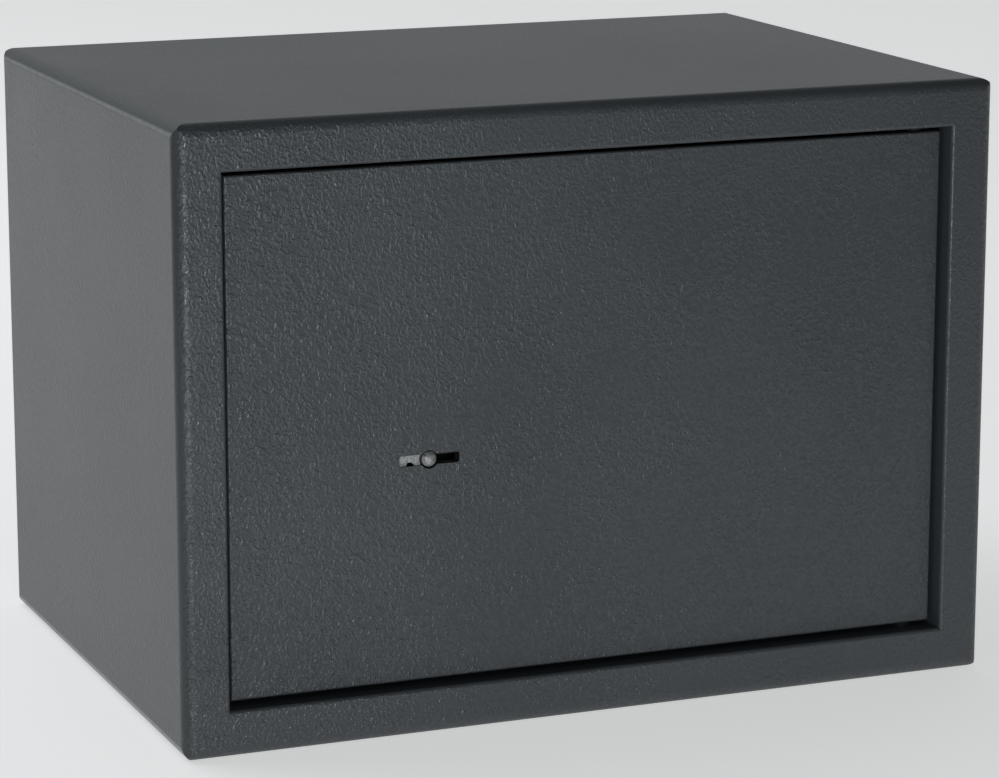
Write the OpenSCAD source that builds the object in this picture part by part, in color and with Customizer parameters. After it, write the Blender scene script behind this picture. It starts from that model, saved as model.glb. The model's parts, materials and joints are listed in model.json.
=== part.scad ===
// Small free-standing steel safe. A folded sheet body with a recessed door that
// swings on two concealed pivot pins and is locked by a key-operated lever lock,
// which throws two round bolts behind the frame.
// Millimetres. +Z up, +X to the right seen from the front, the door faces -Y.
// The origin is the centre of the underside. The door is drawn shut and unlocked.

/* [Body] */
// Outside width of the body
body_w = 350; // [340:5:420]
// Outside depth of the body
body_d = 250; // [200:5:350]
// Outside height of the body
body_h = 250; // [245:5:320]
// Sheet thickness of the body
wall = 2; // [1.5:0.5:2.5]
// Outside radius of the folds round the front and the back
edge_r = 5; // [3.5:0.5:5.5]
// Outside radius of the folds between the sides
side_r = 5.5; // [3.5:0.5:5.5]
// Width of the front flange round the doorway
flange_w = 19; // [18:1:22]
// Depth of the doorway's folded lip, from the front face
lip_d = 18; // [17:0.5:19]
// Radius of the fold between the front flange and the lip
fold_r = 1.5; // [1:0.1:1.8]
// Width of the rear flange that the back panel is welded to
rear_flange_w = 17; // [12:1:30]

/* [Anchor holes] */
// Distance between the two anchor holes, in the floor and in the back
anchor_pitch = 200; // [120:10:240]
// Radius of an anchor hole
anchor_r = 5; // [4:0.5:6]

/* [Door] */
// Gap between the door and the doorway on every side
gap = 2.2; // [2:0.1:2.6]
// How far the door lies behind the front face
recess = 6; // [5:0.5:7]
// Thickness of the door plate
door_t = 3; // [2.5:0.5:3]
// Radius on the door plate's front edges
door_edge_r = 0.9; // [0.3:0.1:1]
// Radius of the hinge pins
pin_r = 2.5; // [2:0.1:2.5]

/* [Lock] */
// Length of the keyhole slot
slot_l = 25.2; // [22:0.2:26]
// Height of the keyhole slot
slot_h = 4.4; // [4.2:0.1:5]
// Radius of the keyhole's round middle
eye_r = 3.8; // [3.6:0.1:4.2]
// Radius of a locking bolt
bolt_r = 7; // [6:0.5:7]
// Travel of the boltwork from unlocked to locked
throw = 13; // [10:1:13]

/* [Mat] */
// Thickness of the felt mat on the floor
mat_t = 2; // [1.5:0.5:4]

/* [Hidden] */
$fn = 48;

e = 0.5;                                  // overrun of a cutting shape
paint = [0.26, 0.28, 0.29];
zinc = [0.70, 0.71, 0.71];
bright = [0.78, 0.78, 0.77];
brass = [0.72, 0.60, 0.33];
black = [0.06, 0.06, 0.065];

// Body
front_y = -body_d / 2;
back_y = body_d / 2;
in_x = body_w / 2 - wall;                 // inner face of a side wall
in_top = body_h - wall;
ow = body_w - 2 * flange_w;               // doorway
oh = body_h - 2 * flange_w;
lip_y = front_y + lip_d;                  // rear edge of the lip
anchor_x = [-anchor_pitch / 2, anchor_pitch / 2];

// Door
door_w = ow - 2 * gap;
door_h = oh - 2 * gap;
x0 = -door_w / 2;                         // left edge of the door plate
x1 = door_w / 2;
z0 = flange_w + gap;                      // lower edge
z1 = body_h - flange_w - gap;
zc = body_h / 2;
py0 = front_y + recess;                   // front of the door plate
p = py0 + door_t;                         // back of the door plate
hinge_x = x1 - 10;
hinge_y = py0 + 6;
block_h = 8;

// Rails and cover behind the door plate
rail_t = 1.5;
rail_x0 = x0 + 4.8;
rail_x1 = x1 - 23.8;
rail_z0 = z0 + 6.8;
rail_z1 = z1 - 6.8;
rail_y = p + 28.5;
fold = 10.5;
cover_t = 1.2;
cover_y = rail_y + cover_t;
screw_x = [rail_x0 + 6.5, (rail_x0 + rail_x1) / 2, rail_x1 - 6.5];
screw_z = [rail_z0 + 6.5, rail_z1 - 6.5];

// Boltwork
bolt_y = p + 19.6;
bolt_z = [zc - 59.5, zc + 59.5];
bar_x0 = x0 + 19.8;
bar_x1 = x0 + 50.8;
bar_y0 = p + 10.5;
bar_y1 = p + 13.5;
stud_x = x0 + 27;
stud_z = [zc - 29.5, zc + 30.5];
bolt_tip = x0 + 1.8;
bolt_end = x0 + 47.8;
bolt_screw_x = [x0 + 25.8, x0 + 41.8];

// Lock, about the key axis
kx = x0 + 83.3;
kz = zc - 14;
case_u0 = -30; case_u1 = 32;
case_w0 = -19; case_w1 = 33;
case_t = 2;                               // front plate of the case
case_wall = 1.5;
case_y = p + 16;                          // rear edge of the case's walls
lock_cover_y = case_y + 1.5;
disc_r = 14;
disc_in = door_t - 1.3;                   // how deep the rotor's disc sits in the door plate
drum_r = 6.5;
nose_r = 3.1;
post_tip = py0 - 1;
journal_r = 5;
post_u = 24; post_w = 19;                 // pivot of the levers
post_r = 2.5;
corner_u = [case_u0 + 4.2, case_u1 - 4.2];
corner_w = [case_w0 + 4.2, case_w1 - 4.2];
lug_u = [-22, 24];
lug_w = [-24, 38];
tail_y0 = p + 2.4;                        // the lock bolt's tail plate
tail_y1 = p + 5.4;
lever_t = 1.8;
lever_y = [for (i = [0:3]) p + 5.8 + i * 2.2];
stump_u = -4; stump_w = 17.5;

// A 2D rectangle with rounded corners, centred, as exact arcs.
module round_rect(w, h, r) {
    square([w - 2 * r, h], center = true);
    square([w, h - 2 * r], center = true);
    for (i = [-1, 1], j = [-1, 1]) translate([i * (w / 2 - r), j * (h / 2 - r)]) circle(r);
}
// A box with every edge rounded, by s along Y and by r elsewhere: three rounded bars crossed.
module round_box(w, d, h, r, s) {
    intersection() {
        linear_extrude(h, center = true) round_rect(w, d, r);
        rotate([90, 0, 0]) linear_extrude(d, center = true) round_rect(w, h, s);
        rotate([90, 0, 90]) linear_extrude(w, center = true) round_rect(d, h, r);
    }
}
// A box from one corner to the other.
module span(a, b) translate(a) cube([b[0] - a[0], b[1] - a[1], b[2] - a[2]]);
// A cylinder along Y from ya to yb.
module ycyl(x, z, ya, yb, r) translate([x, ya, z]) rotate([-90, 0, 0]) cylinder(h = yb - ya, r = r);
// A cone along Y.
module ycone(x, z, ya, yb, ra, rb) translate([x, ya, z]) rotate([-90, 0, 0]) cylinder(h = yb - ya, r1 = ra, r2 = rb);
// A cylinder along X from xa to xb.
module xcyl(y, z, xa, xb, r) translate([xa, y, z]) rotate([0, 90, 0]) cylinder(h = xb - xa, r = r);
module zcyl(x, y, za, zb, r) translate([x, y, za]) cylinder(h = zb - za, r = r);
// A slot with round ends along X, cut along Y.
module yslot(xa, xb, z, ya, yb, r) {
    ycyl(xa, z, ya, yb, r);
    ycyl(xb, z, ya, yb, r);
    span([xa, ya, z - r], [xb, yb, z + r]);
}
// A pan-head screw along Y: shank from ya towards -Y, head beyond ya.
module pan_screw(x, z, ya, shank, r, head_r, head_h) {
    difference() {
        union() {
            ycyl(x, z, ya - shank, ya + head_h * 0.6, r);
            ycyl(x, z, ya, ya + head_h * 0.55, head_r);
            ycone(x, z, ya + head_h * 0.55, ya + head_h, head_r, head_r * 0.72);
        }
        for (a = [0, 90]) translate([x, ya + head_h, z]) rotate([0, a, 0])
            cube([head_r * 1.1, head_h * 0.9, head_r * 0.22], center = true);
    }
}

// What rounding takes off a square edge on the origin, with material in +X +Y.
module edge_waste(r) difference() {
    translate([-e, -e]) square(r + e);
    translate([r, r]) circle(r);
}
// The rounded fold round a doorway w x h in the XZ plane, with its front at y = 0.
module doorway_fold(w, h, r) {
    for (s = [0, 1]) {
        mirror([s, 0, 0]) translate([w / 2, 0, -h / 2]) linear_extrude(h) edge_waste(r);
        mirror([0, 0, s]) translate([w / 2, 0, h / 2]) rotate([0, -90, 0]) linear_extrude(w) edge_waste(r);
    }
    for (i = [-1, 1], j = [-1, 1]) translate([i * w / 2, 0, j * h / 2]) rotate([-90, 0, 0])
        rotate_extrude() difference() {
            translate([0, -e]) square([r, r + e]);
            translate([r, r]) circle(r);
        }
}
// The rounding of the front edges of a plate w x h, with its front at y = 0.
module plate_rounding(w, h, r) for (s = [0, 1]) {
    mirror([s, 0, 0]) translate([-w / 2, 0, -h / 2 - e]) linear_extrude(h + 2 * e) edge_waste(r);
    mirror([0, 0, s]) translate([w / 2 + e, 0, -h / 2]) rotate([0, -90, 0]) linear_extrude(w + 2 * e) edge_waste(r);
}

// Body ---------------------------------------------------------------
module body_shell() color(paint) difference() {
    union() {
        difference() {
            translate([0, 0, zc]) round_box(body_w, body_d, body_h, edge_r, side_r);
            translate([0, 0, zc]) round_box(body_w - 2 * wall, body_d - 2 * wall, body_h - 2 * wall, edge_r - wall, side_r - wall);
        }
        // the lip folded back from the front flange
        difference() {
            span([-ow / 2 - wall, front_y + wall / 2, flange_w - wall], [ow / 2 + wall, lip_y, body_h - flange_w + wall]);
            span([-ow / 2 - wall / 2, front_y + wall / 4, flange_w - wall / 2], [ow / 2 + wall / 2, front_y + wall / 2 + 0.01, body_h - flange_w + wall / 2]);
        }
    }
    // the doorway
    span([-ow / 2, front_y - e, flange_w], [ow / 2, lip_y + e, body_h - flange_w]);
    translate([0, front_y, zc]) doorway_fold(ow, oh, fold_r);
    // the window in the back, inside the rear flange
    span([-body_w / 2 + rear_flange_w, back_y - wall - e, rear_flange_w], [body_w / 2 - rear_flange_w, back_y + e, body_h - rear_flange_w]);
    // hinge pin holes in the lip
    zcyl(hinge_x, hinge_y, flange_w - wall - e, flange_w + e, pin_r + 0.02);
    zcyl(hinge_x, hinge_y, body_h - flange_w - e, body_h - flange_w + wall + e, pin_r + 0.02);
    // floor anchor holes
    for (x = anchor_x) zcyl(x, 0, -e, wall + e, anchor_r);
}
module back_panel() color(paint) difference() {
    span([-in_x + 3, back_y - 2 * wall, wall + 3], [in_x - 3, back_y - wall, in_top - 3]);
    for (x = anchor_x) ycyl(x, zc, back_y - 2 * wall - e, back_y - wall + e, anchor_r);
}
// Bar behind the lip on the lock side, which the bolts lock behind.
module strike_plate() color(paint) span([-in_x, lip_y, zc - 80], [-ow / 2, lip_y + 3, zc + 80]);
// Tabs on the lip that the shut door rests against.
module door_stops() color(paint) for (z = [zc - 25, zc + 25])
    span([-ow / 2, p, z - 10], [-ow / 2 + 4.2, p + 3, z + 10]);
module hinge_pin(z, s) {
    zcyl(hinge_x, hinge_y, s > 0 ? z - 11.2 : z, s > 0 ? z : z + 11.2, pin_r);
    zcyl(hinge_x, hinge_y, s > 0 ? z : z - 2.5, s > 0 ? z + 2.5 : z, pin_r + 2);
}
module hinge_pin_upper() color(bright) hinge_pin(body_h - flange_w + wall, 1);
module hinge_pin_lower() color(bright) hinge_pin(flange_w - wall, -1);
module hinge_washers() color(black) for (z = [flange_w, body_h - flange_w - gap]) difference() {
    zcyl(hinge_x, hinge_y, z, z + gap, pin_r + 1.5);
    zcyl(hinge_x, hinge_y, z - e, z + gap + e, pin_r + 0.1);
}
module floor_mat() color(black) difference() {
    span([-in_x + 3, lip_y + 4, wall], [in_x - 3, back_y - 2 * wall - 1.5, wall + mat_t]);
    for (x = anchor_x) zcyl(x, 0, wall - e, wall + mat_t + e, anchor_r + 3);
}

// Door ---------------------------------------------------------------
module keyhole_2d() {
    circle(eye_r);
    round_rect(slot_l, slot_h, 1);
}
module door_plate() color(paint) difference() {
    span([x0, py0, z0], [x1, p, z1]);
    translate([0, py0, zc]) plate_rounding(door_w, door_h, door_edge_r);
    // the seat of the rotor's disc
    ycyl(kx, kz, p - disc_in - 0.1, p + e, disc_r + 0.3);
    translate([kx, p + e, kz]) rotate([90, 0, 0]) linear_extrude(door_t + 2 * e) keyhole_2d();
}
module door_rail_left() color(paint) difference() {
    union() {
        span([rail_x0, p, rail_z0], [rail_x0 + rail_t, rail_y, rail_z1]);
        span([rail_x0, p, rail_z0 + rail_t], [rail_x0 + fold, p + rail_t, rail_z1 - rail_t]);
        span([rail_x0, rail_y - rail_t, rail_z0 + rail_t], [rail_x0 + fold, rail_y, rail_z1 - rail_t]);
    }
    for (z = bolt_z) xcyl(bolt_y, z, rail_x0 - e, rail_x0 + rail_t + e, bolt_r + 0.1);
    for (z = screw_z) ycyl(screw_x[0], z, rail_y - rail_t - e, rail_y + e, 2);
}
module door_rail_right() color(paint) difference() {
    union() {
        span([rail_x1 - rail_t, p, rail_z0], [rail_x1, rail_y, rail_z1]);
        span([rail_x1 - fold, p, rail_z0 + rail_t], [rail_x1, p + rail_t, rail_z1 - rail_t]);
        span([rail_x1 - fold, rail_y - rail_t, rail_z0 + rail_t], [rail_x1, rail_y, rail_z1 - rail_t]);
    }
    for (z = screw_z) ycyl(screw_x[2], z, rail_y - rail_t - e, rail_y + e, 2);
}
module rail_level(z, s) {
    a = rail_x0 + fold + 0.2;
    b = rail_x1 - fold - 0.2;
    span([rail_x0 + rail_t, p, s > 0 ? z : z - rail_t], [rail_x1 - rail_t, rail_y, s > 0 ? z + rail_t : z]);
    span([a, p, s > 0 ? z : z - fold], [b, p + rail_t, s > 0 ? z + fold : z]);
    span([a, rail_y - rail_t, s > 0 ? z : z - fold], [b, rail_y, s > 0 ? z + fold : z]);
}
module door_rail_top() color(paint) difference() {
    rail_level(rail_z1, -1);
    ycyl(screw_x[1], screw_z[1], rail_y - rail_t - e, rail_y + e, 2);
}
module door_rail_bottom() color(paint) difference() {
    rail_level(rail_z0, 1);
    ycyl(screw_x[1], screw_z[0], rail_y - rail_t - e, rail_y + e, 2);
}
module hinge_block(z) difference() {
    union() {
        span([hinge_x - 9.8, p, z], [hinge_x + 8.2, p + 6, z + block_h]);
        translate([hinge_x - 0.8, p + 6, z]) span([-5, -1, 0], [5, 4, block_h]);
    }
    zcyl(hinge_x, hinge_y, z - e, z + block_h + e, pin_r + 0.05);
}
module hinge_block_upper() color(paint) hinge_block(z1 - block_h);
module hinge_block_lower() color(paint) hinge_block(z0);
module rear_cover() color(paint) difference() {
    span([rail_x0, rail_y, rail_z0], [rail_x1, cover_y, rail_z1]);
    for (x = screw_x, z = screw_z) ycyl(x, z, rail_y - e, cover_y + e, 2.2);
}
module cover_screws() color(zinc) for (x = screw_x, z = screw_z)
    pan_screw(x, z, cover_y, 5, 1.9, 3.8, 2.4);

// Lock ---------------------------------------------------------------
module lock_case() color(zinc) translate([kx, 0, kz]) difference() {
    union() {
        span([case_u0, p, lug_w[0] - 5], [case_u1, p + case_t, lug_w[1] + 5]);
        difference() {
            span([case_u0, p + case_t / 2, case_w0], [case_u1, case_y, case_w1]);
            span([case_u0 + case_wall, p + case_t, case_w0 + case_wall], [case_u1 - case_wall, case_y + e, case_w1 - case_wall]);
        }
        for (u = corner_u, w = corner_w) ycyl(u, w, p + case_t / 2, case_y, 2.9);
    }
    ycyl(0, 0, p - e, p + case_t + e, disc_r + 0.15);
    for (u = corner_u, w = corner_w) ycyl(u, w, p + 10, case_y + e, 1.5);
    for (u = lug_u, w = lug_w) ycyl(u, w, p - e, p + case_t + e, 2.75);
    // the way out for the lock bolt's tail
    span([case_u0 - e, tail_y0 - 0.2, 7.8], [case_u0 + case_wall + 0.2, tail_y1 + 0.2, 24.8]);
}
module lock_cover() color(zinc) translate([kx, 0, kz]) difference() {
    span([case_u0, case_y, case_w0], [case_u1, lock_cover_y, case_w1]);
    ycyl(0, 0, case_y - e, lock_cover_y + e, journal_r + 0.05);
    for (u = corner_u, w = corner_w) ycyl(u, w, case_y - e, lock_cover_y + e, 1.7);
}
module lock_cover_screws() color(bright) translate([kx, 0, kz])
    for (u = corner_u, w = corner_w) pan_screw(u, w, lock_cover_y, 6, 1.45, 2.8, 1.8);
module lock_studs() color(bright) translate([kx, 0, kz])
    for (u = lug_u, w = lug_w) ycyl(u, w, p, p + 8.5, 2.5);
module lock_nuts() color(zinc) translate([kx, 0, kz])
    for (u = lug_u, w = lug_w) difference() {
        translate([u, p + case_t, w]) rotate([-90, 0, 0]) cylinder(h = 4, r = 4.6, $fn = 6);
        ycyl(u, w, p + case_t - e, p + case_t + 4 + e, 2.55);
    }
module lever_post() color(bright) translate([kx, 0, kz]) ycyl(post_u, post_w, p + case_t, case_y, post_r);
module bolt_guide_pin() color(bright) translate([kx, 0, kz]) ycyl(1, 21, p + case_t, tail_y1 + 0.1, 1.5);
module post_spacer() color(brass) translate([kx, 0, kz]) difference() {
    ycyl(post_u, post_w, lever_y[3] + lever_t + 0.2, case_y, 4.2);
    ycyl(post_u, post_w, lever_y[3], case_y + e, post_r + 0.05);
}
// The pin that the levers' tails drop onto, riveted in the lock cover.
module lever_stop_pin() color(bright) translate([kx, 0, kz]) ycyl(-18, 6.8, lever_y[0] - 0.1, case_y, 1.5);
// Leaf spring between the case's top wall and a lever.
module lever_spring(i) color(bright) translate([kx, lever_y[i] + lever_t - 0.2, kz]) rotate([90, 0, 0]) linear_extrude(lever_t - 0.4)
    polygon([[3, 27.02], [5, 27.02], [19, 31.1], [21.6, 31.1], [21.6, 31.5], [18.9, 31.5], [4.9, 27.42], [3, 27.42]]);
module lever_spring_1() lever_spring(0);
module lever_spring_2() lever_spring(1);
module lever_spring_3() lever_spring(2);
module lever_spring_4() lever_spring(3);
// Rotor: the key's bit lies in its one-sided slot.
module key_rotor() color(zinc) translate([kx, 0, kz]) difference() {
    union() {
        ycyl(0, 0, p - disc_in, p + case_t, disc_r);
        ycyl(0, 0, p + case_t - 0.5, case_y - 0.2, drum_r);
        ycyl(0, 0, case_y - 0.7, lock_cover_y + 1, journal_r);
    }
    ycyl(0, 0, p - disc_in - e, case_y - 3, 3.9);
    ycyl(0, 0, case_y - 3 - e, lock_cover_y + 1 + e, 2);
    span([0, p - disc_in - e, -slot_h / 2], [slot_l / 2 + 0.1, p + case_t + e, slot_h / 2]);
    span([0, p, -slot_h / 2], [drum_r + e, case_y - 3, slot_h / 2]);
    ycyl(-7.9, -2.55, p - disc_in - e, p + case_t + e, 1.75);
}
// Post that the hollow barrel of the key slides over, riveted through the rotor.
module key_post() color(bright) translate([kx, 0, kz]) {
    intersection() {
        ycyl(0, 0, py0 - 2, case_y - 3, nose_r);
        union() {
            translate([0, post_tip + 3.6, 0]) sphere(3.6, $fn = 64);
            ycyl(0, 0, post_tip + 3.4, case_y - 3, nose_r + 1);
        }
    }
    ycyl(0, 0, case_y - 3 - 0.5, lock_cover_y + 1, 1.98);
}
// Lever: two pockets for the bolt's stump joined by a gate.
module lever(i) color(brass) translate([kx, lever_y[i] + lever_t, kz]) rotate([90, 0, 0]) linear_extrude(lever_t) difference() {
    union() {
        translate([-22, 8.6]) square([36, 18.4]);
        translate([12, 12.5]) square([12, 12.8]);
        translate([post_u, post_w]) circle(6.2);
    }
    translate([post_u, post_w]) circle(post_r + 0.05);
    translate([-20, 12]) square([7.5, 11]);
    translate([-7.5, 12]) square([7, 11]);
    translate([-13, 14.7]) square([6, 5.6]);
}
module lever_1() lever(0);
module lever_2() lever(1);
module lever_3() lever(2);
module lever_4() lever(3);

// Boltwork -----------------------------------------------------------
module lock_bolt() color(zinc) translate([kx, 0, kz]) difference() {
    union() {
        span([-31, tail_y0, 8], [20.5, tail_y1, 24.5]);
        span([-54, tail_y0, 9], [-31, bar_y0, 24]);
        span([stump_u - 2, tail_y1 - 0.5, stump_w - 2.5], [stump_u + 2, lever_y[3] + lever_t + 0.6, stump_w + 2.5]);
    }
    // the talon, where the key's bit pushes
    span([2, tail_y0 - e, 8 - e], [11, tail_y1 + e, 13.2]);
    yslot(1, 1 + throw, 21, tail_y0 - e, tail_y1 + e, 1.7);
    for (w = [12.5, 20.5]) ycyl(-44, w, bar_y0 - 6, bar_y0 + e, 2.05);
}
module bolt_bar() color(zinc) difference() {
    span([bar_x0, bar_y0, bolt_z[0] - 10.5], [bar_x1, bar_y1, bolt_z[1] + 10.5]);
    for (z = stud_z) yslot(stud_x, stud_x + throw, z, bar_y0 - e, bar_y1 + e, 3.2);
    for (x = bolt_screw_x, z = bolt_z) ycyl(x, z, bar_y0 - e, bar_y1 + e, 2.55);
    for (w = [12.5, 20.5]) ycyl(kx - 44, kz + w, bar_y0 - e, bar_y1 + e, 2.1);
}
module locking_bolts() color(bright) for (z = bolt_z) difference() {
    union() {
        xcyl(bolt_y, z, bolt_tip + 1.2, bolt_end, bolt_r);
        translate([bolt_tip, bolt_y, z]) rotate([0, 90, 0]) cylinder(h = 1.2, r1 = bolt_r - 1.2, r2 = bolt_r);
    }
    span([bar_x0 - 0.5, bar_y1 - 4, z - bolt_r - 1], [bolt_end + 1, bar_y1, z + bolt_r + 1]);
    for (x = bolt_screw_x) ycyl(x, z, bar_y1 - e, bar_y1 + 7, 2.55);
}
// Screws through the bar into the bolts, heads towards the door plate.
module bolt_screws() color(bright) for (x = bolt_screw_x, z = bolt_z)
    mirror([0, 1, 0]) pan_screw(x, z, -bar_y0, 9, 2.5, 4.4, 2.8);
module carriage_screws() color(bright) for (w = [12.5, 20.5])
    pan_screw(kx - 44, kz + w, bar_y1, 8, 2, 3.6, 2.2);
module guide_studs() color(bright) for (z = stud_z) {
    ycyl(stud_x, z, p, bar_y0 - 0.2, 5);
    ycyl(stud_x, z, p + 1, bar_y1 + 3, 3);
}
module guide_clips() color(zinc) for (z = stud_z) difference() {
    ycyl(stud_x, z, bar_y1 + 0.2, bar_y1 + 1.4, 6);
    ycyl(stud_x, z, bar_y1, bar_y1 + 2, 3.02);
}

body_shell();
back_panel();
strike_plate();
door_stops();
hinge_pin_upper();
hinge_pin_lower();
hinge_washers();
floor_mat();
door_plate();
door_rail_left();
door_rail_right();
door_rail_top();
door_rail_bottom();
hinge_block_upper();
hinge_block_lower();
rear_cover();
cover_screws();
lock_case();
lock_cover();
lock_cover_screws();
lock_studs();
lock_nuts();
lever_post();
bolt_guide_pin();
post_spacer();
lever_stop_pin();
lever_spring_1();
lever_spring_2();
lever_spring_3();
lever_spring_4();
key_rotor();
key_post();
lever_1();
lever_2();
lever_3();
lever_4();
lock_bolt();
bolt_bar();
locking_bolts();
bolt_screws();
carriage_screws();
guide_studs();
guide_clips();
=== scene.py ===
import json
import math

import bmesh
import bpy
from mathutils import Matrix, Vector


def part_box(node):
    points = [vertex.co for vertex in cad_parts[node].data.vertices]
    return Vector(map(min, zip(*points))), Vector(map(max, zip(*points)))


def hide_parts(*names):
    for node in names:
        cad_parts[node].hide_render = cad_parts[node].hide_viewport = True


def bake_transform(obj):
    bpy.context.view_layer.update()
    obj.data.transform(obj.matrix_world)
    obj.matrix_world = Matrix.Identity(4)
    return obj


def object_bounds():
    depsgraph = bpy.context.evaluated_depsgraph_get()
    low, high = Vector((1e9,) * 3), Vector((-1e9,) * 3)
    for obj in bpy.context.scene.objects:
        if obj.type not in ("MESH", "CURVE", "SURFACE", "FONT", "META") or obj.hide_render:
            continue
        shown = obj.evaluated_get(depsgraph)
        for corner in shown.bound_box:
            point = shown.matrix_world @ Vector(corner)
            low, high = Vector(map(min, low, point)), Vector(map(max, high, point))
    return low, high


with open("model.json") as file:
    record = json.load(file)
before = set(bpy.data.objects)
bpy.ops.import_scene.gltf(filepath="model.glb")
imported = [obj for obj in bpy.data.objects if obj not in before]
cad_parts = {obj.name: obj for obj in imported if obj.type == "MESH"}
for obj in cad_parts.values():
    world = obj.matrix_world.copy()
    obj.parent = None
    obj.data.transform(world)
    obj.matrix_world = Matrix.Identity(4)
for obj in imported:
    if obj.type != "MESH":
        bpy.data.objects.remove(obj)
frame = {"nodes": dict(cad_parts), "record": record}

lo0, hi0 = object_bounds()
nodes = frame["nodes"]
record = frame["record"]
scene = bpy.context.scene
scene.view_settings.view_transform = "Standard"
scene.view_settings.look = "None"
scene.view_settings.exposure = 0.0
scene.view_settings.gamma = 1.0


# ---------------------------------------------------------------- node helpers
class Net:
    """A material's node tree, with short calls that wire nodes together."""

    def __init__(self, name):
        self.m = bpy.data.materials.new(name)
        self.m.use_nodes = True
        self.t = self.m.node_tree
        self.t.nodes.clear()
        self.out = self.t.nodes.new("ShaderNodeOutputMaterial")
        self.b = self.t.nodes.new("ShaderNodeBsdfPrincipled")
        self.t.links.new(self.b.outputs[0], self.out.inputs[0])
        self.co = self.t.nodes.new("ShaderNodeTexCoord")
        self.obj = self.co.outputs["Object"]
        self.nrm = self.co.outputs["Normal"]

    def new(self, kind, **props):
        n = self.t.nodes.new(kind)
        for k, v in props.items():
            setattr(n, k, v)
        return n

    def put(self, socket, value):
        if isinstance(value, bpy.types.NodeSocket):
            self.t.links.new(value, socket)
        elif value is not None:
            socket.default_value = value

    def math(self, op, a, b=None, c=None, clamp=False):
        n = self.new("ShaderNodeMath", operation=op, use_clamp=clamp)
        for i, v in enumerate((a, b, c)):
            if v is not None:
                self.put(n.inputs[i], v)
        return n.outputs[0]

    def mul(self, a, b):
        return self.math("MULTIPLY", a, b)

    def add(self, a, b):
        return self.math("ADD", a, b)

    def ramp(self, value, lo, hi, to_lo=0.0, to_hi=1.0, smooth=True):
        n = self.new("ShaderNodeMapRange", clamp=True, interpolation_type="SMOOTHSTEP" if smooth else "LINEAR")
        self.put(n.inputs[0], value)
        for i, v in enumerate((lo, hi, to_lo, to_hi)):
            self.put(n.inputs[i + 1], v)
        return n.outputs[0]

    def mapped(self, scale=(1, 1, 1), rot=(0, 0, 0), loc=(0, 0, 0), source=None):
        n = self.new("ShaderNodeMapping")
        self.put(n.inputs["Vector"], source or self.obj)
        n.inputs["Scale"].default_value = scale
        n.inputs["Rotation"].default_value = rot
        n.inputs["Location"].default_value = loc
        return n.outputs[0]

    def noise(self, scale, detail=2.0, rough=0.5, vec=None, distort=0.0):
        n = self.new("ShaderNodeTexNoise")
        self.put(n.inputs["Vector"], vec or self.obj)
        n.inputs["Scale"].default_value = scale
        n.inputs["Detail"].default_value = detail
        n.inputs["Roughness"].default_value = rough
        n.inputs["Distortion"].default_value = distort
        return n.outputs[0]

    def voronoi(self, scale, feature="SMOOTH_F1", smooth=0.6, vec=None, randomness=1.0):
        n = self.new("ShaderNodeTexVoronoi", feature=feature)
        self.put(n.inputs["Vector"], vec or self.obj)
        n.inputs["Scale"].default_value = scale
        if feature == "SMOOTH_F1":
            n.inputs["Smoothness"].default_value = smooth
        n.inputs["Randomness"].default_value = randomness
        return n.outputs[0]

    def mix(self, fac, a, b):
        n = self.new("ShaderNodeMix", data_type="RGBA", blend_type="MIX")
        self.put(n.inputs["Factor"], fac)
        ca = [s for s in n.inputs if s.name == "A" and s.type == "RGBA"][0]
        cb = [s for s in n.inputs if s.name == "B" and s.type == "RGBA"][0]
        self.put(ca, (*a, 1) if isinstance(a, tuple) and len(a) == 3 else a)
        self.put(cb, (*b, 1) if isinstance(b, tuple) and len(b) == 3 else b)
        return [s for s in n.outputs if s.type == "RGBA"][0]

    def bump(self, height, strength, distance, normal=None):
        n = self.new("ShaderNodeBump")
        self.put(n.inputs["Height"], height)
        self.put(n.inputs["Strength"], strength)
        n.inputs["Distance"].default_value = distance
        if normal is not None:
            self.put(n.inputs["Normal"], normal)
        return n.outputs[0]

    def axes(self):
        n = self.new("ShaderNodeSeparateXYZ")
        self.put(n.inputs[0], self.nrm)
        return [self.math("ABSOLUTE", s) for s in n.outputs]

    def place(self):
        n = self.new("ShaderNodeSeparateXYZ")
        self.put(n.inputs[0], self.obj)
        return n.outputs


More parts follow.
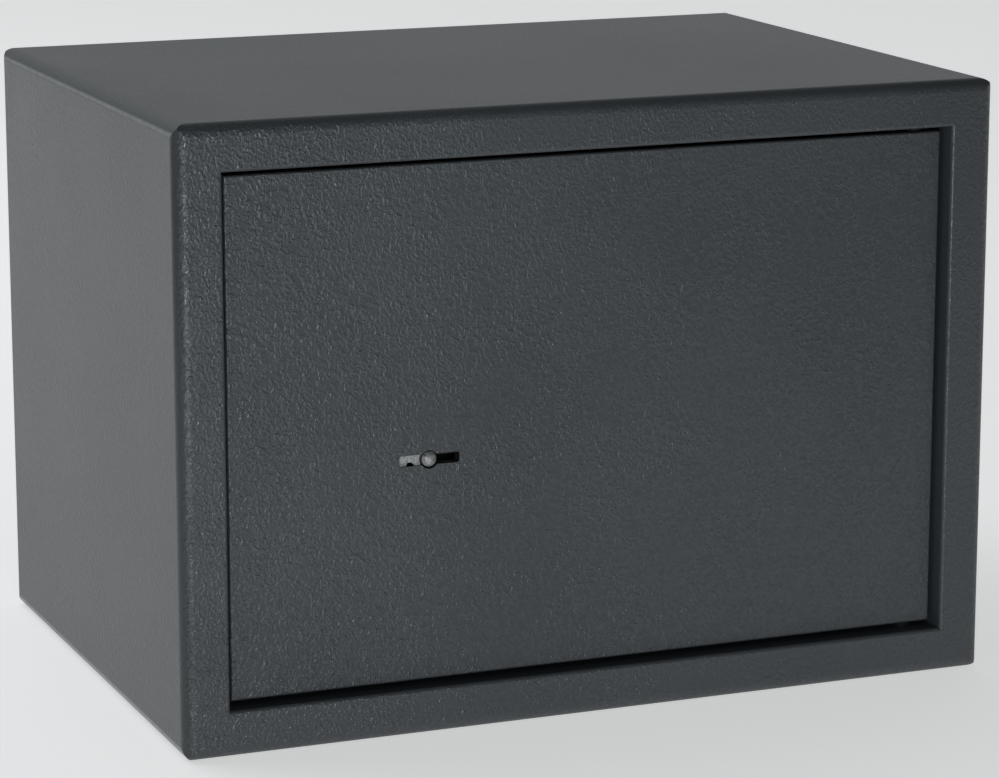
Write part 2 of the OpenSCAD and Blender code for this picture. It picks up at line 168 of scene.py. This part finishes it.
def powder_coat(name, base, grain=1.0, side_grain=0.3, box=None, slot=None):
    """Textured powder coat: irregular flattened beads about 1.5 mm apart with sparse proud ones, painted sheen and
    glint specks on the beads with painted shade between them, a painted highlight line on the side folds, and painted
    shade on the rougher outer front folds.
    """
    n = Net(name)
    ax, ay, az = n.axes()
    level = n.math("MAXIMUM", n.math("MAXIMUM", ax, ay), az)
    edge = n.ramp(level, 0.78, 0.985, 1.0, 0.0)  # 1 on the rounded edges
    outside = 1.0
    if box is not None:  # only the folds on the outside of the body
        x, y, z = n.place()
        ox = n.ramp(n.math("ABSOLUTE", x), box[0] - 0.0075, box[0] - 0.0055)
        oz = n.ramp(n.math("ABSOLUTE", n.math("SUBTRACT", z, box[1])), box[1] - 0.0075, box[1] - 0.0055)
        outside = n.math("MAXIMUM", ox, oz)
        edge = n.mul(edge, outside)
    to_front = n.ramp(ay, 0.05, 0.30)
    fold_highlight_paint = n.mul(n.ramp(az, 0.10, 0.24), n.ramp(az, 0.50, 0.34))  # a thin painted highlight line on the folds along the sides
    fold_highlight_paint = n.mul(n.mul(fold_highlight_paint, outside), n.math("SUBTRACT", 1.0, to_front))
    edge = n.mul(edge, to_front)
    face = n.ramp(ay, 0.55, 0.95, side_grain, grain)  # the front takes the coarsest skin
    bent = n.mapped(scale=(1.0, 1.0, 0.86), rot=(0, 0.35, 0))
    beads = n.noise(760, 1.6, 0.5, vec=bent, distort=0.35)
    proud = n.noise(470, 1.0, 0.4, vec=n.mapped(scale=(1, 1, 0.9), loc=(3, 1, 7)))
    skin = n.noise(1900, 2.0, 0.6)
    cover = n.ramp(n.noise(30, 3.0, 0.6), 0.35, 0.65, 0.60, 1.20)
    px = n.place()[0]
    fade = n.mul(n.ramp(px, -0.165, -0.02, 1.15, 0.60), n.ramp(px, -0.02, 0.17, 1.0, 0.62))  # the grain bumps and the painted glint specks weaken towards the right
    cover = n.mul(cover, fade)
    body = n.ramp(beads, 0.40, 0.66, smooth=True)  # rounded tops on a flat ground
    drop = n.ramp(proud, 0.58, 0.72, smooth=True)  # the few that stand higher
    point = n.ramp(n.voronoi(430, feature="F1", vec=bent), 0.30, 0.02)  # small round specks
    point = n.mul(point, n.ramp(n.noise(210, 1.0, 0.4), 0.42, 0.58))
    h = n.add(n.mul(body, 0.50), n.add(n.mul(drop, 0.45), n.add(n.mul(point, 0.85), n.mul(skin, 0.14))))
    h = n.mul(h, n.mul(face, cover))
    slow = n.noise(9, 2.0, 0.5)
    dark = tuple(c * 0.94 for c in base)
    light = tuple(c * 1.06 for c in base)
    col = n.mix(n.ramp(slow, 0.35, 0.65), dark, light)
    # painted sheen on the bead tops and painted shade in the hollows between them, on the front
    col = n.mix(n.mul(n.ramp(beads, 0.50, 0.70), n.mul(face, 0.35)), col, tuple(c * 1.5 for c in base))
    col = n.mix(n.mul(n.ramp(beads, 0.46, 0.30), n.mul(face, 0.40)), col, tuple(c * 0.55 for c in base))
    # painted glints: sparse light specks on the beads
    col = n.mix(n.mul(n.mul(point, cover), n.mul(face, 0.45)), col, tuple(c * 2.2 for c in base))
    # painted shade: the rounded outer front folds are darkened in colour
    col = n.mix(n.mul(edge, 0.5), col, tuple(c * 0.62 for c in base))
    # painted highlight: a patchy light grey line on the folds along the sides
    col = n.mix(n.mul(fold_highlight_paint, n.ramp(n.noise(160, 3.0, 0.6), 0.25, 0.60, 0.60, 1.0)), col, (0.215, 0.230, 0.235))
    if slot is not None:  # the end walls of the keyhole slot are painted near black, as shade
        x, y, z = n.place()
        dx = n.math("LESS_THAN", n.math("ABSOLUTE", n.math("SUBTRACT", x, slot[0])), slot[2])
        dz = n.math("LESS_THAN", n.math("ABSOLUTE", n.math("SUBTRACT", z, slot[1])), slot[3])
        slot_wall_shade = n.mul(n.mul(dx, dz), n.ramp(ax, 0.5, 0.9))
        col = n.mix(slot_wall_shade, col, (0.004, 0.004, 0.004))
    n.put(n.b.inputs["Base Color"], col)
    rough = n.add(ROUGH, n.add(n.mul(n.math("SUBTRACT", slow, 0.5), 0.08), n.mul(n.math("SUBTRACT", skin, 0.5), 0.16)))
    rough = n.math("SUBTRACT", rough, n.mul(n.mul(body, face), 0.11))
    n.put(n.b.inputs["Roughness"], n.add(rough, n.mul(edge, 0.08)))
    n.b.inputs["IOR"].default_value = 1.46
    n.b.inputs["Specular IOR Level"].default_value = 0.5
    n.put(n.b.inputs["Normal"], n.bump(h, 1.0, BUMP))
    return n.m


def smooth_paint(name, base, rough=0.42):
    n = Net(name)
    ax, ay, az = n.axes()
    flat = n.math("MAXIMUM", n.math("MAXIMUM", ax, ay), az)
    edge = n.ramp(flat, 0.80, 0.99, 1.0, 0.0)
    slow = n.noise(30, 3.0, 0.55)
    peel = n.noise(520, 2.0, 0.5)
    fine = n.noise(2600, 2.0, 0.5)
    col = n.mix(n.ramp(slow, 0.3, 0.7), tuple(c * 0.88 for c in base), tuple(c * 1.1 for c in base))
    # painted highlight on the rounded edges
    col = n.mix(n.mul(edge, 0.3), col, tuple(c * 1.6 for c in base))
    n.put(n.b.inputs["Base Color"], col)
    n.put(n.b.inputs["Roughness"], n.add(rough - 0.06, n.mul(slow, 0.14)))
    n.put(n.b.inputs["Normal"], n.bump(n.add(n.mul(peel, 0.7), n.mul(fine, 0.2)), 0.5, 0.00012))
    return n.m


def metal(name, base, rough=0.3, axis="X", streak=1.0, tint=None, spots=0.3, pit=0.0):
    """Bare or plated metal: fine lay along one axis, faint stains and a duller patina."""
    n = Net(name)
    scale = {"X": (40, 2600, 2600), "Y": (2600, 40, 2600), "Z": (2600, 2600, 40), "N": (1200, 1200, 1200)}[axis]
    lay = n.noise(1.0, 3.0, 0.6, vec=n.mapped(scale=scale))
    slow = n.noise(70, 3.0, 0.6)
    stain = n.noise(320, 4.0, 0.65)
    dull = tint or tuple(c * 0.72 for c in base)
    col = n.mix(n.mul(n.ramp(slow, 0.35, 0.75), 0.6), base, dull)
    col = n.mix(n.mul(n.ramp(stain, 0.58, 0.80), spots), col, tuple(c * 0.45 for c in base))
    n.put(n.b.inputs["Base Color"], col)
    n.b.inputs["Metallic"].default_value = 1.0
    r = n.add(rough - 0.10 * streak, n.add(n.mul(lay, 0.20 * streak), n.mul(slow, 0.14)))
    n.put(n.b.inputs["Roughness"], n.math("MAXIMUM", r, 0.12, clamp=True))
    h = n.mul(lay, 0.5 * streak)
    if pit:
        h = n.add(h, n.mul(n.noise(1400, 4.0, 0.7), pit))
    n.put(n.b.inputs["Normal"], n.bump(h, 0.35 if not pit else 0.9, 0.00008 if not pit else 0.00022))
    return n.m


def cast_metal(name, base, metallic=0.55, rough=0.55, rotor_slot_shade=0.0):
    """Dull zinc die-cast face: blotchy grey oxide, dark pores and a rough skin."""
    n = Net(name)
    blotch = n.noise(900, 4.0, 0.65)
    pore = n.voronoi(1500, feature="F1")
    slow = n.noise(220, 3.0, 0.6)
    col = n.mix(n.ramp(blotch, 0.36, 0.64), tuple(c * 0.55 for c in base), tuple(c * 1.15 for c in base))
    col = n.mix(n.mul(n.ramp(slow, 0.45, 0.75), 0.5), col, tuple(c * 0.6 for c in base))
    col = n.mix(n.mul(n.ramp(pore, 0.24, 0.10), 0.7), col, tuple(c * 0.15 for c in base))
    if rotor_slot_shade:  # painted shade, near black, on the faces that do not face the front, such as the walls of the key's slot
        col = n.mix(n.mul(n.ramp(n.axes()[1], 0.7, 0.3), rotor_slot_shade), col, (0.012, 0.011, 0.010))
    n.put(n.b.inputs["Base Color"], col)
    n.b.inputs["Metallic"].default_value = metallic
    n.put(n.b.inputs["Roughness"], n.add(rough - 0.08, n.mul(blotch, 0.22)))
    h = n.add(n.mul(blotch, 0.8), n.mul(n.ramp(pore, 0.0, 0.3), 0.5))
    n.put(n.b.inputs["Normal"], n.bump(h, 1.0, 0.00045))
    return n.m


def plastic(name, base, rough=0.5):
    n = Net(name)
    a = n.noise(900, 3.0, 0.6)
    b = n.noise(60, 2.0, 0.5)
    n.put(n.b.inputs["Base Color"], n.mix(b, tuple(c * 0.8 for c in base), tuple(c * 1.25 for c in base)))
    n.put(n.b.inputs["Roughness"], n.add(rough - 0.08, n.mul(a, 0.16)))
    n.put(n.b.inputs["Normal"], n.bump(a, 0.3, 0.00006))
    n.b.inputs["Specular IOR Level"].default_value = 0.12
    return n.m


def felt(name, base):
    n = Net(name)
    fib = n.noise(1.0, 4.0, 0.7, vec=n.mapped(scale=(900, 2600, 900), rot=(0, 0, 0.5)), distort=1.5)
    fib2 = n.noise(1.0, 4.0, 0.7, vec=n.mapped(scale=(2600, 900, 900), rot=(0, 0, -0.3)), distort=1.5)
    lump = n.noise(120, 3.0, 0.6)
    f = n.math("MAXIMUM", fib, fib2)
    col = n.mix(n.ramp(f, 0.42, 0.72), tuple(c * 0.55 for c in base), tuple(c * 1.7 for c in base))
    col = n.mix(n.mul(n.ramp(lump, 0.4, 0.7), 0.3), col, tuple(c * 0.6 for c in base))
    n.put(n.b.inputs["Base Color"], col)
    n.b.inputs["Roughness"].default_value = 0.95
    n.b.inputs["Sheen Weight"].default_value = 0.35
    n.b.inputs["Sheen Roughness"].default_value = 0.4
    n.put(n.b.inputs["Normal"], n.bump(n.add(f, n.mul(lump, 0.5)), 0.8, 0.0004))
    return n.m


ENV_FRONT, ENV_BACK = 0.11, 0.45
PAINT = (0.0460, 0.0535, 0.0585)
ROUGH = 0.38
BUMP = 0.00036
mats = {
    "body_paint": powder_coat("body_paint", PAINT, 1.0, 0.28, box=(hi0.x, (lo0.z + hi0.z) / 2)),
    "door_paint": powder_coat("door_paint", PAINT, 1.0, 0.5, slot=(-0.0705, 0.111, 0.0135, 0.0045)),
    "inner_paint": smooth_paint("inner_paint", (0.055, 0.060, 0.064)),
    "zinc_plate": metal("zinc_plate", (0.58, 0.59, 0.60), 0.34, "X", 1.0, spots=0.25),
    "zinc_casting": cast_metal("zinc_casting", (0.40, 0.41, 0.41)),
    "bright_steel": metal("bright_steel", (0.66, 0.66, 0.65), 0.24, "N", 0.7, spots=0.15),
    "spring_steel": metal("spring_steel", (0.36, 0.36, 0.38), 0.28, "X", 0.8, spots=0.1),
    "lever_brass": metal("lever_brass", (0.74, 0.56, 0.26), 0.28, "X", 0.9, tint=(0.55, 0.38, 0.16), spots=0.3),
    "washer_nylon": plastic("washer_nylon", (0.010, 0.010, 0.011), 0.7),
    "mat_felt": felt("mat_felt", (0.030, 0.030, 0.034)),
}
for part in record["subparts"]:
    o = nodes[part["node"]]
    o.data.materials.clear()
    o.data.materials.append(mats[part["material_slot"]])
rotor = nodes["key_rotor"]
rotor.data.materials.clear()
# the rotor gets painted shade on the walls of its key slot
rotor.data.materials.append(cast_metal("rotor_face", (0.40, 0.41, 0.41), rotor_slot_shade=0.92))
post = nodes["key_post"]
post.data.materials.clear()
post.data.materials.append(cast_metal("post_worn", (0.36, 0.37, 0.37), 0.7, 0.50))

# Broken edges on the cut sheet metal, which catch the light.
for name, width in (("door_plate", 0.00035), ("key_rotor", 0.0002), ("rear_cover", 0.0003), ("back_panel", 0.0003), ("lock_case", 0.0003)):
    m = nodes[name].modifiers.new("broken_edge", "BEVEL")
    m.width = width
    m.segments = 2
    m.limit_method = "ANGLE"
    m.angle_limit = math.radians(50)
    m.use_clamp_overlap = True

# ---------------------------------------------------------------- bent leaf springs that replace the CAD ones
def leaf_spring(i):
    node = "lever_spring_%d" % i
    lo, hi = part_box(node)
    under = [(0.0, 0.0), (0.0020, 0.0), (0.0160, 0.00408), (0.0186, 0.00408)]
    over = [(0.0, 0.0004), (0.0019, 0.0004), (0.0159, 0.00448), (0.0186, 0.00448)]
    steps = (5, 26, 6)
    bm = bmesh.new()
    rings = []
    for k, count in enumerate(steps):
        for j in range(count + (k == len(steps) - 1)):
            t = j / count
            ring = []
            for y in (lo[1], hi[1]):
                for line in (under, over):
                    u = line[k][0] * (1 - t) + line[k + 1][0] * t
                    w = line[k][1] * (1 - t) + line[k + 1][1] * t
                    ring.append(bm.verts.new((lo[0] + u, y, lo[2] + w)))
            rings.append([ring[0], ring[1], ring[3], ring[2]])
    for a, b in zip(rings, rings[1:]):
        for q in range(4):
            r = (q + 1) % 4
            bm.faces.new((a[q], a[r], b[r], b[q]))
    bm.faces.new(rings[0][::-1])
    bm.faces.new(rings[-1])
    bmesh.ops.recalc_face_normals(bm, faces=bm.faces)
    mesh = bpy.data.meshes.new("leaf_spring_%d" % i)
    bm.to_mesh(mesh)
    bm.free()
    piece = bpy.data.objects.new("leaf_spring_%d" % i, mesh)
    scene.collection.objects.link(piece)
    mesh.materials.append(mats["spring_steel"])
    edge = piece.modifiers.new("broken_edge", "BEVEL")
    edge.width = 0.00006
    edge.segments = 2
    edge.limit_method = "ANGLE"
    edge.angle_limit = math.radians(60)
    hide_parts(node)
    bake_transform(piece)


for i in (1, 2, 3, 4):
    leaf_spring(i)

# ---------------------------------------------------------------- floor, light, camera
def flat(name, base, rough, glow):
    n = Net(name)
    n.b.inputs["Emission Color"].default_value = (1, 1, 1, 1)
    n.put(n.b.inputs["Emission Strength"], n.ramp(n.place()[1], -5.5, -4.3, glow * 0.36, glow))  # the light falls off towards the front
    a = n.noise(3.0, 3.0, 0.5)
    n.put(n.b.inputs["Base Color"], n.mix(a, tuple(c * 0.985 for c in base), base))
    n.b.inputs["Roughness"].default_value = rough
    return n.m


bpy.ops.mesh.primitive_plane_add(size=24, location=(0, 4, 0))
floor = bpy.context.object
floor.name = "studio_floor"
floor.data.materials.append(flat("floor_pale", (0.84, 0.84, 0.84), 0.9, 0.50))

world = bpy.data.worlds.new("studio")
scene.world = world
world.use_nodes = True
wt = world.node_tree
wt.nodes.clear()


def wnode(kind, **props):
    x = wt.nodes.new(kind)
    for k, v in props.items():
        setattr(x, k, v)
    return x


# The studio: a bright wall behind the object, dimmer towards the front; plain white where the camera sees it.
wo = wnode("ShaderNodeOutputWorld")
seen = wnode("ShaderNodeBackground")
seen.inputs[0].default_value = (1, 1, 1, 1)
seen.inputs[1].default_value = 1.0
lit = wnode("ShaderNodeBackground")
lit.inputs[0].default_value = (0.95, 0.985, 1.0, 1)
wc = wnode("ShaderNodeTexCoord")
ws = wnode("ShaderNodeSeparateXYZ")
wt.links.new(wc.outputs["Generated"], ws.inputs[0])
wr = wnode("ShaderNodeMapRange", clamp=True, interpolation_type="SMOOTHSTEP")
wt.links.new(ws.outputs[1], wr.inputs[0])
for i, v in enumerate((0.1, 0.9, ENV_FRONT, ENV_BACK)):
    wr.inputs[i + 1].default_value = v
wt.links.new(wr.outputs[0], lit.inputs[1])
lp = wnode("ShaderNodeLightPath")
mx = wnode("ShaderNodeMixShader")
wt.links.new(lp.outputs["Is Camera Ray"], mx.inputs[0])
wt.links.new(lit.outputs[0], mx.inputs[1])
wt.links.new(seen.outputs[0], mx.inputs[2])
wt.links.new(mx.outputs[0], wo.inputs[0])


def area(name, pos, target, size, power, colour=(1, 1, 1)):
    l = bpy.data.lights.new(name, "AREA")
    l.shape = "RECTANGLE"
    l.size, l.size_y = size
    l.energy = power
    l.color = colour
    o = bpy.data.objects.new(name, l)
    scene.collection.objects.link(o)
    o.location = pos
    o.rotation_mode = "QUATERNION"
    o.rotation_quaternion = (Vector(target) - Vector(pos)).to_track_quat("-Z", "Y")
    o.visible_camera = False
    return o


area("key_front_left", (-0.38, -1.12, 0.10), (-0.10, -0.12, 0.12), (0.13, 0.20), 4.1, (0.95, 0.985, 1.0))
area("floor_back_left", (-1.0, 1.15, 1.5), (-0.9, 1.1, 0.0), (1.8, 1.8), 11.5, (0.92, 0.97, 1.0))

# A black card to the left, seen only in reflections, keeps the front left fold dark as a studio flag does.
bpy.ops.mesh.primitive_plane_add(size=1, location=(-0.85, -0.02, 0.30))
card = bpy.context.object
card.name = "studio_flag"
card.scale = (0.75, 0.62, 1)
card.rotation_euler = (math.pi / 2, 0, math.pi / 2)
card.data.materials.append(flat("flag_black", (0.01, 0.01, 0.01), 0.9, 0.0))
for ray in ("camera", "diffuse", "shadow", "transmission", "volume_scatter"):
    setattr(card, "visible_" + ray, False)

cam_data = bpy.data.cameras.new("camera")
cam = bpy.data.objects.new("camera", cam_data)
scene.collection.objects.link(cam)
scene.camera = cam
cam_data.sensor_fit = "HORIZONTAL"
cam_data.sensor_width = 36
cam_data.lens = 3850.8 * 0.978 * 36 / 999
cam_data.clip_start, cam_data.clip_end = 0.05, 60
az, el = math.radians(-22.13), math.radians(12.47)
cam.location = (-0.58772, -1.46385, 0.45794)
back = Vector((math.sin(az) * math.cos(el), -math.cos(az) * math.cos(el), math.sin(el)))
cam.rotation_mode = "QUATERNION"
cam.rotation_quaternion = (-back).to_track_quat("-Z", "Y")
